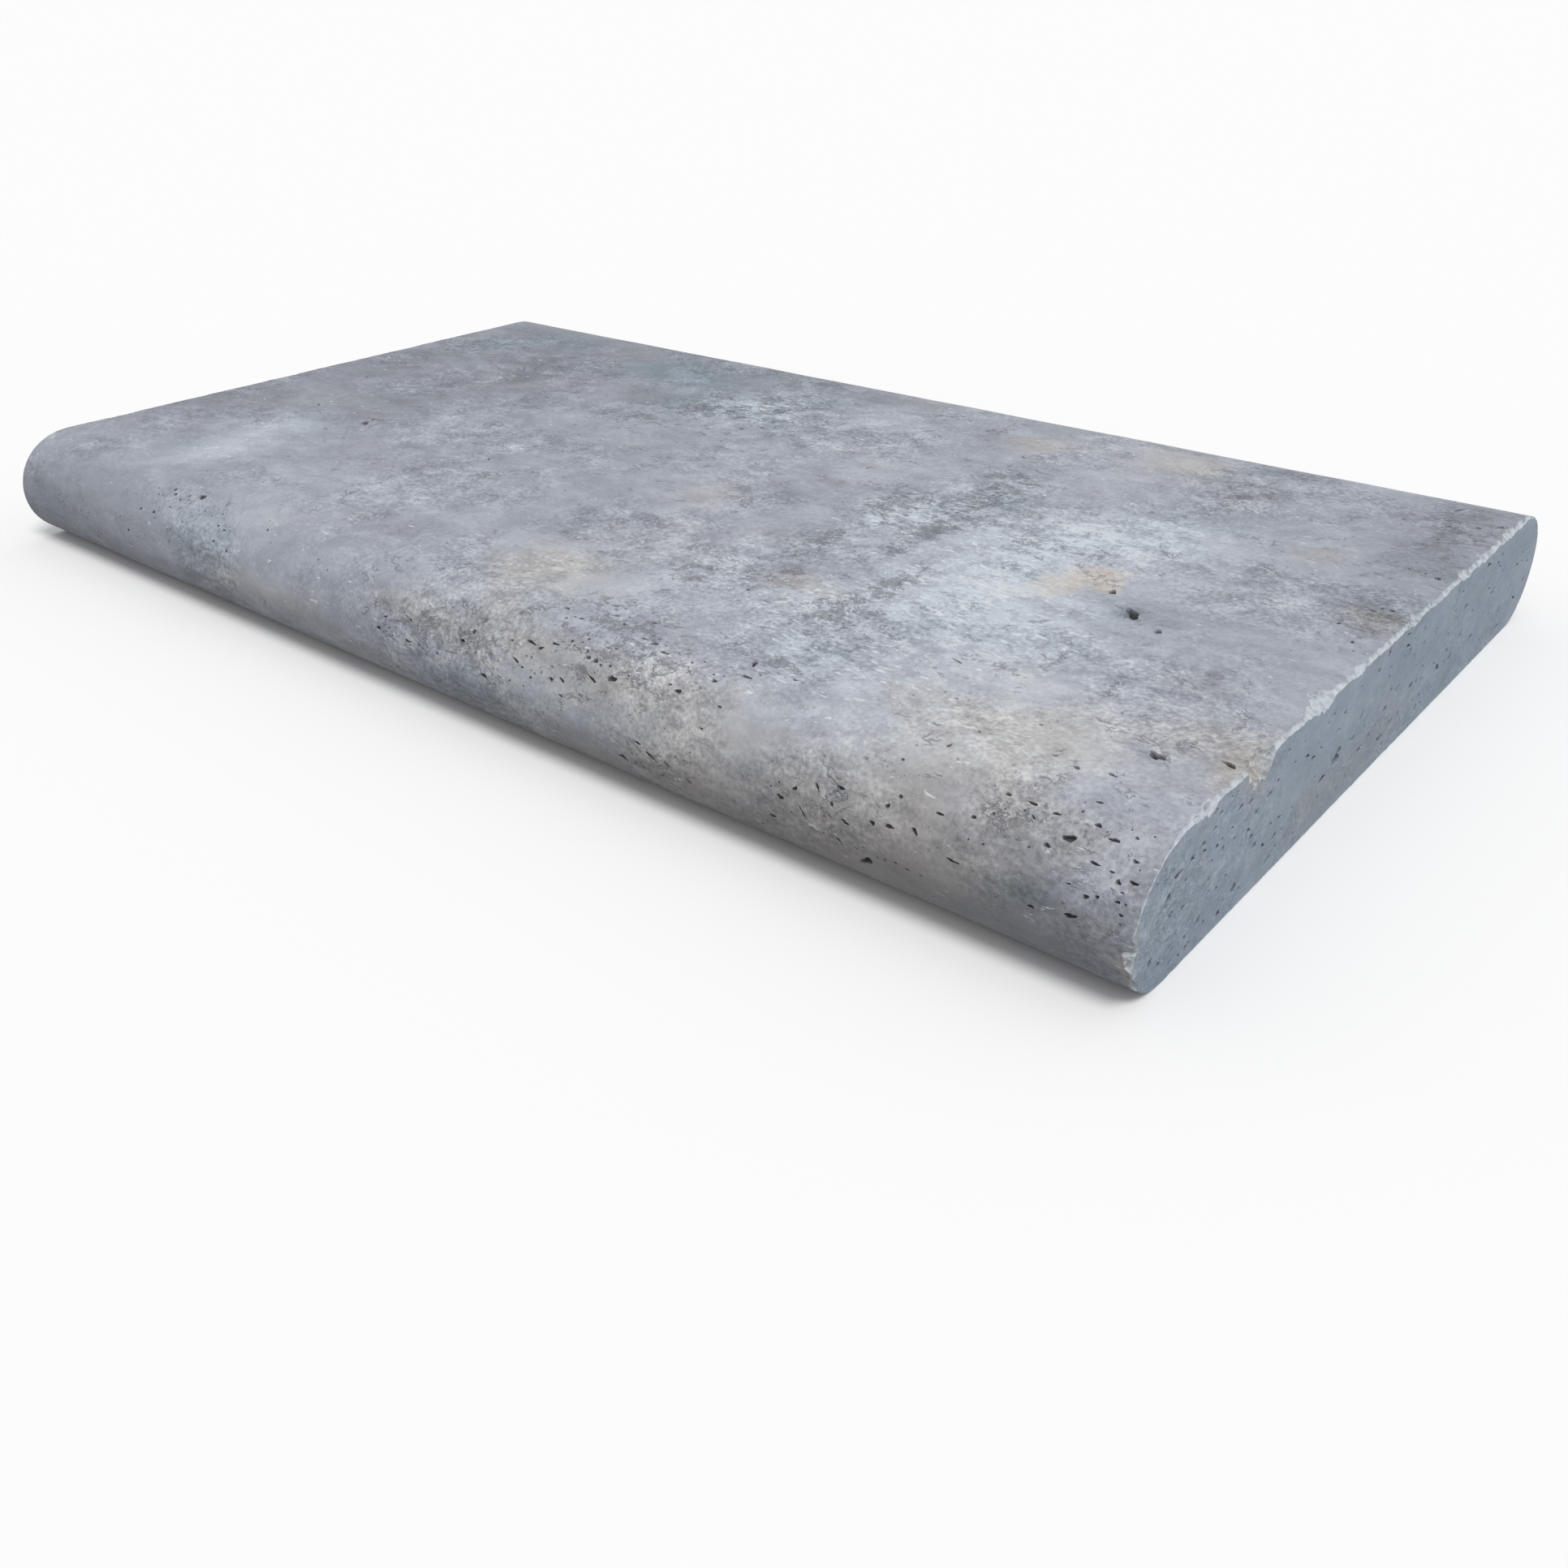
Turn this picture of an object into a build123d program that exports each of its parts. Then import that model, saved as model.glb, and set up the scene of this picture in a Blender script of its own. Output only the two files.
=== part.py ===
from build123d import *
import os

# Coping for a pool edge, a step or a wall top, in unfilled silver travertine.
# It is one stone: sawn from the block to a slab, profiled to a bullnose along both long
# edges, cut square at its two ends and brushed, so that its natural pores stay open.
# X runs along the length, Y across the width and Z up, in millimetres.
# The origin is on the underside, below the middle of the slab.

# The slab, in the 24 by 14 inch size
length = 609.6
width = 355.6
thickness = 50.0

# Each nose is two quarter ellipses that meet on its foremost line, fuller above than below.
crown_run = 30.0  # from the foremost line back to the flat top
crown_drop = 27.5  # from the flat top down to the foremost line
heel_run = 22.5  # from the foremost line back to the flat underside
nose_height = thickness - crown_drop

# The saw leaves sharp ends, and handling rubs their edges down.
arris_break = 1.0


def on_top(from_end, from_nose):
    """Return the plane that faces out of the flat top at this place."""
    middle = (length / 2 - from_end, from_nose - width / 2, thickness)
    return Plane(origin=middle)


def on_end(from_nose, height):
    """Return the plane that faces out of the right-hand end at this place."""
    middle = (length / 2, from_nose - width / 2, height)
    return Plane(origin=middle, x_dir=(0, 1, 0), z_dir=(1, 0, 0))


# A dozen of the larger pores, where reeds and gas left gaps in the limestone that the
# spring laid down. Each is a spindle that lies in the face: after its place come its
# length, its width and its turn in degrees.
pores = [
    (on_top(24.3, 55.0), 6.0, 3.6, -35),
    (on_top(6.0, 63.0), 5.0, 2.4, -25),
    (on_top(93.5, 156.5), 4.4, 3.0, -70),
    (on_top(78.5, 143.0), 9.0, 4.4, -45),
    (on_top(64.5, 134.5), 3.6, 2.6, -50),
    (on_end(82.8, 33.0), 4.2, 2.2, -5),
    (on_end(128.8, 17.5), 6.0, 3.0, 15),
    (on_end(139.5, 21.0), 8.0, 5.0, 25),
    (on_end(162.8, 14.5), 4.4, 2.4, -15),
    (on_end(209.0, 20.5), 4.6, 2.8, 10),
    (on_end(239.0, 16.0), 5.2, 3.2, -15),
    (on_end(278.5, 14.5), 5.4, 3.0, 0),
]

with BuildPart() as slab:
    # Cross-section of the slab, drawn looking along its length
    with BuildSketch(Plane.YZ):
        with BuildLine():
            crown_centre = (width / 2 - crown_run, nose_height)
            crown = EllipticalCenterArc(crown_centre, crown_run, crown_drop, 0, arc_size=90)
            heel_centre = (width / 2 - heel_run, nose_height)
            heel = EllipticalCenterArc(heel_centre, heel_run, nose_height, 270, arc_size=90)
            Line(crown @ 1, (0, thickness))
            Line((0, 0), heel @ 0)
            mirror(about=Plane.YZ)
        make_face()
    extrude(amount=length / 2, both=True)

    sawn_ends = faces().filter_by(Axis.X)
    chamfer(sawn_ends.edges(), length=arris_break)

    # Half of each spindle's outline, turned about the long axis
    for place, pore_length, pore_width, turn in pores:
        along = place.rotated((0, 0, turn))
        with BuildSketch(along):
            Ellipse(pore_length / 2, pore_width / 2)
            split(bisect_by=Plane.XZ)
        revolve(axis=Axis(along.origin, along.x_dir), mode=Mode.SUBTRACT)

slab.part.label = "coping_slab"
os.makedirs("parts", exist_ok=True)
export_step(slab.part, "parts/coping_slab.step")
print(f"{slab.part.label}: {len(slab.part.solids())} solid, {slab.part.volume / 1e6:.3f} litres")
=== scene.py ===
# %% [markdown]
# A travertine bullnose coping stone: a slab of spring limestone, 24 by 14 inches and 5 cm
# thick, with a rounded nose along both long edges and a sawn face at each end. Its shape is
# simple, so everything that makes it look like stone is in its skin: open pores, a broken
# white arris, clouds of tone and a matt brushed surface. The frame holds the exact solid.
# Here it gets that skin, as one closed mesh with real pores, inside the same box.

# %% Load the frame
import math
import random

import bpy
import numpy as np
from mathutils import Matrix, Vector, noise
from mathutils.geometry import delaunay_2d_cdt


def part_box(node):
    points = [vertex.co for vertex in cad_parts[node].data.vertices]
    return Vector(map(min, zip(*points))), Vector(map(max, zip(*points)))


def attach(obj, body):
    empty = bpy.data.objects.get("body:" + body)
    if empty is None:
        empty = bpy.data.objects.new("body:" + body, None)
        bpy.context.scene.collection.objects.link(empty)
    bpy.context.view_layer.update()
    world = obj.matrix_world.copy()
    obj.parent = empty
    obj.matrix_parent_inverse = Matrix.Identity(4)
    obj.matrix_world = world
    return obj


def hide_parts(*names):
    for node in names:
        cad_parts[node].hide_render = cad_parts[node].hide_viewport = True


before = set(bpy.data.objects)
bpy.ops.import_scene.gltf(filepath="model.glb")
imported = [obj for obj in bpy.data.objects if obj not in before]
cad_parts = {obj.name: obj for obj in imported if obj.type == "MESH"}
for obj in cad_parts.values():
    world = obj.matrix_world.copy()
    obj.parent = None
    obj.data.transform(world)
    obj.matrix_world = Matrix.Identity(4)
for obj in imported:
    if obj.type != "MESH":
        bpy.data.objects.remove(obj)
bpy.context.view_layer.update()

METRES = 0.001  # this script counts in millimetres, and Blender in metres
low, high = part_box("coping_slab")
length, width, thickness = [(high[i] - low[i]) / METRES for i in range(3)]
print(f"slab {length:.1f} x {width:.1f} x {thickness:.1f} mm")

# %% [markdown]
# The slab's cross-section is a flat top, two noses and a flat underside. Each nose is a
# quarter ellipse above its foremost line and a tighter one below. Walking round that
# outline gives one number, the distance across the skin from the middle of the top. With
# the distance along the slab it unrolls the whole skin flat, as a paper wrapper would be.
# A pore drawn on the wrapper keeps its true size when the wrapper is bent round the nose.

# %% Walk round the section
CROWN_RUN, CROWN_DROP = 30.0, 27.5
HEEL_RUN = 22.5
NOSE_HEIGHT = thickness - CROWN_DROP

bend = np.linspace(0, math.pi / 2, 160)
crown_y = width / 2 - CROWN_RUN + CROWN_RUN * np.sin(bend)
crown_z = NOSE_HEIGHT + CROWN_DROP * np.cos(bend)
heel_y = width / 2 - HEEL_RUN + HEEL_RUN * np.cos(bend)
heel_z = NOSE_HEIGHT - NOSE_HEIGHT * np.sin(bend)
wall_y = np.concatenate([[0], crown_y, heel_y[1:], [0]])
wall_z = np.concatenate([[thickness], crown_z, heel_z[1:], [0]])
facing_y = np.concatenate([[0], np.sin(bend) / CROWN_RUN, np.cos(bend[1:]) / HEEL_RUN, [0]])
facing_z = np.concatenate([[1], np.cos(bend) / CROWN_DROP,
                           -np.sin(bend[1:]) / NOSE_HEIGHT, [-1]])
walked = np.concatenate([[0], np.cumsum(np.hypot(np.diff(wall_y), np.diff(wall_z)))])

crown_start = width / 2 - CROWN_RUN
bed_start = float(np.interp(len(walked) - 2, range(len(walked)), walked))
half_round = float(walked[-1])
print(f"skin is {2 * half_round:.1f} mm round, its nose {bed_start - crown_start:.1f} mm")


def on_section(across, sink):
    """Return y and z of points on the section, sunk below its surface."""
    reach = np.abs(across)
    out_y = np.interp(reach, walked, facing_y)
    out_z = np.interp(reach, walked, facing_z)
    size = np.hypot(out_y, out_z)
    side = np.where(across < 0, -1.0, 1.0)
    y = np.interp(reach, walked, wall_y) - sink * out_y / size
    z = np.interp(reach, walked, wall_z) - sink * out_z / size
    return side * y, z


# %% [markdown]
# A pore is where a reed stem or a gas bubble sat while the limestone settled round it. Cut
# open, it is a small irregular pit, longer along the bedding than across. A texture could
# paint dark dots, but in raking light a painted pore has no edge. Each one is therefore cut
# into the mesh: a rim, one or two rings down its wall, and a floor. The list starts with
# the pores that can be told apart on the real slab. Those that the solid has come first.

# %% Pores that can be told apart
# Each is: along, across, length, width, turn in degrees. Across is 0 in the middle of the
# top, and below -crown_start it runs down the front nose.
skin_pores = [
    (280.5, -122.8, 6.0, 3.6, -35), (298.8, -114.8, 5.0, 2.4, -25),
    (211.3, -21.3, 4.4, 3.0, -70), (226.3, -34.8, 9.0, 4.4, -45),
    (240.3, -43.3, 3.6, 2.6, -50), (-190.0, -52.3, 6.4, 3.6, -50),
    (-192.0, -46.0, 2.6, 1.6, -60), (-238.0, -46.5, 3.0, 1.2, -35),
    (-93.0, -54.0, 3.4, 1.5, -30), (101.0, 97.5, 2.6, 1.6, -40),
    (300.0, -56.0, 2.0, 3.6, -10), (285.0, 0.5, 2.4, 1.6, 10),
    (276.0, -140.5, 3.2, 1.6, -10), (266.0, -143.0, 2.6, 1.8, 0),
    (257.5, -140.5, 2.2, 1.2, 20), (230.0, -153.5, 2.4, 1.3, 60),
    (149.5, -147.0, 4.2, 2.0, -55), (200.0, -104.5, 5.0, 1.0, -20),
    (282.5, 121.0, 2.8, 1.5, -20), (296.0, 110.0, 2.6, 1.8, 30),
    (298.0, 62.0, 3.2, 2.0, -40), (285.0, 103.0, 2.4, 1.0, 0),
    (280.0, 143.0, 6.0, 1.6, 60), (266.0, 118.0, 2.4, 1.2, 30),
    (-180.0, -163.0, 2.4, 1.8, 0), (-159.0, -162.0, 5.0, 2.4, 0),
    (-171.0, -167.0, 2.0, 1.3, 0), (-203.0, -189.0, 2.2, 1.6, 10),
    (-134.0, -179.0, 1.9, 1.4, 0), (-123.0, -181.0, 2.0, 1.4, 20),
    (-25.5, 61.5, 2.4, 1.6, 0), (-44.0, 74.5, 2.4, 1.4, 40), (-32.0, 53.5, 2.6, 2.0, 0),
    (32.0, -179.5, 2.6, 1.5, 0), (36.0, -175.0, 2.4, 1.7, 30), (46.0, -189.0, 4.6, 1.5, -5),
    (-16.0, -187.0, 3.4, 1.3, 0), (2.0, -187.5, 3.6, 1.2, -5), (61.0, -179.0, 4.0, 1.1, -15),
    (64.5, -171.0, 4.6, 1.2, -10), (75.0, -168.5, 3.6, 1.0, 0), (92.0, -169.0, 2.2, 1.5, 0),
    (98.0, -175.5, 4.6, 1.2, -20), (106.0, -173.0, 4.0, 2.4, 20), (118.0, -157.0, 4.2, 1.1, 0),
    (134.0, -169.0, 3.8, 1.3, 5), (144.0, -161.0, 2.6, 1.3, 0), (152.0, -169.0, 1.8, 1.2, 0),
    (76.0, -155.0, 2.4, 1.2, 10), (100.0, -143.0, 3.0, 1.2, 0), (86.0, -185.0, 2.2, 1.2, 0),
    (116.0, -199.0, 4.2, 2.4, -5), (130.0, -193.5, 5.6, 1.8, -25), (124.0, -190.5, 2.6, 1.4, 0),
    (137.0, -194.0, 3.0, 1.1, -25), (146.0, -197.0, 3.6, 1.1, -30),
    (185.0, -189.0, 2.8, 2.0, 0), (190.0, -184.5, 3.0, 1.1, 40), (194.0, -191.0, 5.0, 1.0, -50),
    (198.0, -181.5, 3.4, 1.1, -45), (206.0, -179.0, 3.2, 1.2, -10), (182.0, -197.0, 3.0, 1.6, 0),
    (219.5, -185.5, 2.4, 1.6, 0), (223.0, -179.0, 2.0, 1.5, 20), (234.0, -183.0, 3.6, 1.3, -45),
    (218.0, -199.5, 5.2, 3.0, 30), (248.0, -187.0, 4.6, 1.0, 0), (226.0, -175.0, 1.8, 1.2, 0),
    (256.0, -163.0, 1.9, 1.4, 0), (264.0, -163.0, 3.4, 1.0, 0), (271.5, -163.5, 3.0, 1.0, 10),
    (280.0, -155.0, 2.4, 1.2, 0), (278.5, -169.0, 4.0, 2.2, 25), (273.5, -173.0, 2.2, 1.5, 0),
    (290.0, -165.0, 3.8, 1.1, 0), (288.0, -173.0, 3.2, 1.0, 0), (296.0, -175.5, 1.9, 1.6, 0),
    (286.0, -189.0, 4.4, 1.6, 20), (274.0, -191.0, 2.2, 1.5, 0), (250.0, -173.0, 2.0, 1.1, 0),
]
# On the right-hand end each is: across the slab, up, length, width, turn.
end_pores = [
    (-95.0, 33.0, 4.2, 2.2, -5), (-49.0, 17.5, 6.0, 3.0, 15), (-38.3, 21.0, 8.0, 5.0, 25),
    (-15.0, 14.5, 4.4, 2.4, -15), (31.2, 20.5, 4.6, 2.8, 10), (61.2, 16.0, 5.2, 3.2, -15),
    (100.7, 14.5, 5.4, 3.0, 0), (-24.5, 22.5, 2.8, 2.2, -20), (-27.5, 23.0, 2.0, 1.6, 0),
    (-38.0, 37.5, 3.2, 1.6, -15), (83.0, 33.5, 6.8, 1.6, 8), (74.0, 32.0, 2.6, 1.2, 8),
    (17.0, 41.0, 3.8, 1.8, -15), (118.0, 40.0, 3.6, 2.4, -35), (121.5, 38.0, 3.0, 1.4, -20),
    (-82.5, 19.5, 3.4, 1.4, -10), (-93.0, 14.5, 3.0, 1.4, -35), (158.0, 13.0, 4.0, 1.6, -15),
    (56.0, 20.0, 2.2, 1.6, -40), (-67.0, 34.0, 4.0, 1.4, -10), (150.0, 30.0, 4.4, 1.2, -10),
    (-140.0, 38.0, 2.0, 2.6, 20), (-131.5, 17.5, 2.2, 2.0, 0), (-119.5, 17.0, 2.4, 1.6, 0),
]
print(f"{len(skin_pores)} named pores on the skin, {len(end_pores)} on the end")

# %% [markdown]
# The rest are too many to place one by one, so they are scattered. A zone is a patch of
# stone where the pores have one habit: how many, how large and how stretched. Zones follow
# the beds of the stone, so the front nose is far more open towards its right-hand end than
# at the left, and the end is speckled most near its front.

# %% Zones of small pores
# Each zone is: along from and to, across from and to, how many rows of pores, how many in a
# row, smallest, largest, stretch.
skin_zones = [
    (-20, 70, -crown_start - 42, -crown_start - 24, 8, 4, 0.7, 1.5, 3.2),
    (60, 156, -crown_start - 40, -crown_start - 4, 10, 4, 0.7, 1.5, 3.0),
    (112, 150, -crown_start - 52, -crown_start - 42, 3, 4, 0.7, 1.6, 3.0),
    (180, 238, -crown_start - 48, -crown_start - 28, 9, 4, 0.7, 1.6, 3.2),
    (236, 300, -crown_start - 38, -crown_start - 12, 10, 4, 0.6, 1.3, 3.2),
    (-205, -120, -crown_start - 34, -crown_start - 10, 7, 3, 0.7, 1.7, 2.2),
    (-300, 300, -crown_start - 64, -crown_start - 12, 24, 2, 0.6, 1.3, 2.4),
    (66, 112, -170, -140, 5, 4, 0.8, 2.0, 1.9),
    (120, 300, -168, -90, 12, 2, 0.6, 1.5, 2.0),
    (264, 301, -90, 146, 7, 3, 0.7, 2.0, 1.9),
    (84, 150, -110, 100, 8, 3, 0.6, 1.5, 1.8),
    (-96, -12, 54, 116, 5, 3, 0.7, 1.7, 1.6),
    (-298, 298, -150, 148, 26, 1, 0.6, 1.3, 1.8),
    (-300, 300, crown_start, bed_start - 12, 34, 4, 0.7, 2.4, 2.0),
    (-300, 300, bed_start, half_round - 4, 20, 3, 0.9, 2.8, 1.8),
    (-300, 300, -half_round + 4, -bed_start, 20, 3, 0.9, 2.8, 1.8),
]
end_zones = [
    (-170, -98, 4, 46, 84, 1, 1.6, 2.8, 2.1),
    (-98, 20, 4, 46, 70, 1, 1.5, 2.6, 2.6),
    (20, 168, 4, 46, 60, 1, 1.5, 2.6, 2.6),
]
back_end_zones = [(-168, 168, 4, 45, 60, 2, 0.7, 2.2, 1.8)]
print(f"{len(skin_zones)} zones on the skin")

# %% [markdown]
# Pores come in short rows, because they follow one bed. So each row takes a random place
# and heading, and its pores follow at random steps. A pore that would touch another one is
# dropped. The random numbers start from a fixed seed, so the stone is the same every time.

# %% Scatter the small pores
ROW_STRAY, PORE_STRAY = 14, 18  # degrees, of a row and then of each pore in it
SMALL_ARE_COMMON = 2.4  # a power: the higher it is, the rarer the large pores are


def scatter(zones, named, lean, draw):
    """Return the named pores and rows of random ones, which lean this many degrees."""
    pores = list(named)
    for x0, x1, y0, y1, row_count, in_row, smallest, largest, stretch in zones:
        for _ in range(row_count):
            x, y = draw.uniform(x0, x1), draw.uniform(y0, y1)
            tilt = draw.gauss(lean, ROW_STRAY)
            for _ in range(in_row):
                breadth = smallest + (largest - smallest) * draw.random() ** SMALL_ARE_COMMON
                reach = breadth * (1 + (stretch - 1) * draw.random() ** 1.5)
                if all(math.dist((x, y), p[:2]) > 0.6 * (reach + p[2]) + 0.4 for p in pores):
                    pores.append((x, y, reach, breadth, tilt + draw.gauss(0, PORE_STRAY)))
                step = 1.8 + draw.expovariate(0.22)
                x = min(max(x + step * math.cos(math.radians(tilt)), x0), x1)
                y = y + step * math.sin(math.radians(tilt)) + draw.gauss(0, 2.4)
                y = min(max(y, y0), y1)
    return pores


chance = random.Random(7)
skin_pores = scatter(skin_zones, skin_pores, -5, chance)
right_pores = scatter(end_zones, end_pores, 28, chance)
left_pores = scatter(back_end_zones, [], -28, chance)
print(f"pores: {len(skin_pores)} skin, {len(right_pores)} and {len(left_pores)} on the ends")

# %% [markdown]
# A pore's rim wanders in and out, because the stone round it crumbles. Three sine waves
# round the rim do that. The same waves say how deep any point inside lies, so rings and
# depths agree, even where two named pores run into each other. The wall drops steeply and
# the floor is round. Light reaches the floor of a small pore, so it is given a smaller
# share, which the stone's material later turns to shade.

# %% Shape one pore
WAVES = ((2, 0.17), (3, 0.17), (5, 0.09))  # times round the rim, and how far it wanders
LEAST_DEPTH, DEPTH_SHARE = 0.35, 0.62  # mm, and then a share of the pore's width


def rim_waves(pores, draw):
    """Return one row of wave starts for each pore."""
    return np.array([[draw.uniform(0, 2 * math.pi) for _ in WAVES] for _ in pores])


def rim_reach(angle, starts):
    """Return how far the rim is from a plain ellipse, as a share, at this angle."""
    return 1 + sum(share * np.sin(turns * angle + start)
                   for (turns, share), start in zip(WAVES, starts))


def pore_depths(points, pores, starts):
    """Return each point's depth in mm, and how much of the light its pore keeps out."""
    depth, share = np.zeros(len(points)), np.zeros(len(points))
    for (x, y, reach, breadth, turn), waves in zip(pores, starts):
        near = np.flatnonzero(np.abs(points - (x, y)).max(axis=1) < 0.75 * reach + 0.2)
        if not len(near):
            continue
        away = points[near] - (x, y)
        cos, sin = math.cos(math.radians(turn)), math.sin(math.radians(turn))
        u = (away[:, 0] * cos + away[:, 1] * sin) / (reach / 2)
        v = (away[:, 1] * cos - away[:, 0] * sin) / (breadth / 2)
        ring = np.hypot(u, v) / rim_reach(np.arctan2(v, u), waves)
        fall = (1 - np.clip(ring, 0, 1) ** 3) ** 0.8
        floor = LEAST_DEPTH + DEPTH_SHARE * breadth
        depth[near] = np.maximum(depth[near], fall * floor)
        # This share is how strong the pore's painted shade is.
        share[near] = np.maximum(share[near], fall * min(1.0, 0.36 + 0.16 * reach))
    return depth, share


def pore_rings(pore, waves):
    """Return the rings of points that cut one pore into the mesh, from its rim inwards."""
    x, y, reach, breadth, turn = pore
    count = int(np.clip(2.2 * (reach + breadth), 8, 28))
    angle = np.linspace(0, 2 * math.pi, count, endpoint=False)
    cos, sin = math.cos(math.radians(turn)), math.sin(math.radians(turn))
    rings = []
    for ring in (1.0, 0.86, 0.55) if reach > 2.2 else (1.0, 0.80):
        far = ring * rim_reach(angle, waves)
        u, v = far * np.cos(angle) * reach / 2, far * np.sin(angle) * breadth / 2
        rings.append(np.stack([x + u * cos - v * sin, y + u * sin + v * cos], 1))
    return rings


# %% [markdown]
# The saw leaves the ends with sharp edges, and travertine is brittle: in handling the edge
# crumbles to a white, ragged band a millimetre or two wide, with a larger flake gone
# here and there. That band is a strip of its own between the skin and the end. Two ragged
# lines bound it, one on the skin and one on the end, both drawn with fractal noise.

# %% Break the arris
ARRIS_STEP = 1.2
arris_across = np.linspace(-half_round, half_round, int(2 * half_round / ARRIS_STEP) + 1)
# Each flake is: across, half its length, and how far it reaches over the skin and the end.
right_flakes = [
    (-105, 9, 2.6, 7.0), (-58, 7, 4.2, 2.4), (-68, 4, 1.4, 1.2), (-139, 5, 1.0, 1.6),
    (-30, 4, 1.0, 0.8), (22, 5, 1.2, 1.0), (74, 6, 1.4, 1.1), (96, 4, 2.0, 1.0),
    (128, 6, 1.6, 1.0), (-crown_start - 47, 5, 2.6, 2.0), (-crown_start - 60, 4, 1.2, 1.4),
]
left_flakes = [
    (-120, 8, 0.6, 3.0), (-20, 6, 0.5, 2.0), (60, 10, 0.6, 3.4),
    (crown_start + 30, 7, 3.0, 2.6),
]


def ragged(across, offset, grain):
    """Return a value round 1 that jumps from place to place along the arris."""
    y, z = on_section(across, 0.0)
    rough = [noise.fractal(Vector((offset, a / grain, b / grain)), 0.8, 2.1, 4)
             for a, b in zip(y, z)]
    return np.clip(1 + 0.7 * np.array(rough), 0.35, 2.2)


def arris_reach(flakes, worn, offset):
    """Return how far the break reaches over the skin and down the end, all round."""
    stops = [0, crown_start, crown_start + 18, half_round]
    wear = worn * np.interp(np.abs(arris_across), stops, [1.35, 1.35, 0.3, 0.5])
    over_skin = wear * ragged(arris_across, offset, 5.0)
    over_end = wear * ragged(arris_across, offset + 9, 4.0)
    for across, half_span, skin, end in flakes:
        near = np.sqrt(np.clip(1 - ((arris_across - across) / half_span) ** 2, 0, 1))
        over_skin += near * skin * ragged(arris_across, offset + 5, 2.5)
        over_end += near * end * ragged(arris_across, offset + 7, 2.5)
    for line in (over_skin, over_end):
        line[-1] = line[0]
    return over_skin, over_end


breaks = {1: arris_reach(right_flakes, 1.0, 3.0), -1: arris_reach(left_flakes, 0.5, 31.0)}
print(f"arris break {breaks[1][0].min():.1f} to {breaks[1][0].max():.1f} mm wide on the skin")

# %% [markdown]
# The brush rides over hard and soft beds, so the top is never quite flat. Broad waves, two
# tenths of a millimetre deep at most, are enough to unsettle the light. They only ever go
# inwards, so the stone keeps the size that the frame gives it. The underside stays flat.

# %% Soft waves in the brushed skin
WAVE_DEPTH = 0.22
wave_draw = random.Random(11)
swells = [(wave_draw.uniform(0.5, 1), wave_draw.uniform(0, 2 * math.pi),
           wave_draw.uniform(26, 110), wave_draw.uniform(0, 2 * math.pi)) for _ in range(9)]


def swell(points):
    """Return how far the waves sink the surface at these points of the skin or an end."""
    total = np.zeros(len(points))
    for share, heading, span, start in swells:
        run = points[:, 0] * math.cos(heading) + points[:, 1] * math.sin(heading)
        total += share * np.sin(2 * math.pi * run / span + start)
    return WAVE_DEPTH * (0.5 + 0.5 * np.tanh(total / 2.4))


# %% [markdown]
# Now the skin is cut into triangles. Spreading a fine grid everywhere would take millions
# of them, so the points go where the shape is: a coarse grid on the flats, a closer one
# round the noses, close rows beside the ragged arris, and the rings of every pore. A
# constrained Delaunay triangulation joins them all and keeps each rim as an edge. It works
# flat, on the unrolled wrapper, and the section then bends the result round the slab.

# %% Fill an outline with triangles
def in_strips(stops, steps):
    """Return places between the stops, each stretch with its own step."""
    places = []
    for start, stop, step in zip(stops, stops[1:], steps):
        count = max(2, round((stop - start) / step))
        places.append(np.linspace(start, stop, count, endpoint=False))
    return np.concatenate(places)[1:]


def triangulate(outline, inner, pores, waves):
    """Return points and triangles that fill an outline, with every pore's rings in them."""
    clear = np.ones(len(inner), bool)
    for x, y, reach, breadth, _ in pores:
        clear &= np.hypot(inner[:, 0] - x, inner[:, 1] - y) > 0.66 * reach + 0.5
    chunks = [outline, inner[clear]]
    edges = [(i, (i + 1) % len(outline)) for i in range(len(outline))]
    count = len(outline) + int(clear.sum())
    for pore, starts in zip(pores, waves):
        for place, ring in enumerate(pore_rings(pore, starts)):
            if place == 0:
                edges += [(count + i, count + (i + 1) % len(ring)) for i in range(len(ring))]
            chunks.append(ring)
            count += len(ring)
        chunks.append(np.array([pore[:2]]))
        count += 1
    given = np.concatenate(chunks)
    corners, _, faces, origins, _, _ = delaunay_2d_cdt(
        [Vector(p) for p in given], edges, [], 1, 1e-5)
    points = np.array([given[o[0]] if o else tuple(c) for c, o in zip(corners, origins)])
    return points, np.array([f for f in faces if len(f) == 3])


print(f"10 mm in steps of 2.5 mm: {in_strips([0, 10], [2.5])}")

# %% [markdown]
# On the skin the rows lie closest where the noses bend, and widest on the hidden bed. Two
# more rows of points follow each ragged edge inwards, so that the triangles grow little by
# little away from it. A pore that would cut into the broken arris is left out.

# %% Triangulate the skin
rows = in_strips(
    [-half_round, -bed_start, -crown_start, crown_start, bed_start, half_round],
    [9.0, 1.9, 3.1, 2.2, 9.0])
rows = rows[np.abs(rows) < half_round - 3]
columns = np.linspace(-length / 2, length / 2, 200)[3:-3]
grid = np.stack(np.meshgrid(columns, rows, indexing="ij"), -1).reshape(-1, 2)
seam = columns[::3]
right_edge = length / 2 - breaks[1][0]
left_edge = -length / 2 + breaks[-1][0]
beside = []
for edge, inwards in ((right_edge, -1), (left_edge, 1)):
    for gap, skip in ((1.7, 2), (4.2, 3)):
        beside.append(np.stack([edge + inwards * gap, arris_across], 1)[skip:-skip:skip])
skin_outline = np.concatenate([
    np.stack([seam, np.full(len(seam), -half_round)], 1),
    np.stack([right_edge, arris_across], 1),
    np.stack([seam[::-1], np.full(len(seam), half_round)], 1),
    np.stack([left_edge, arris_across], 1)[::-1],
])
skin_waves = rim_waves(skin_pores, chance)


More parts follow.
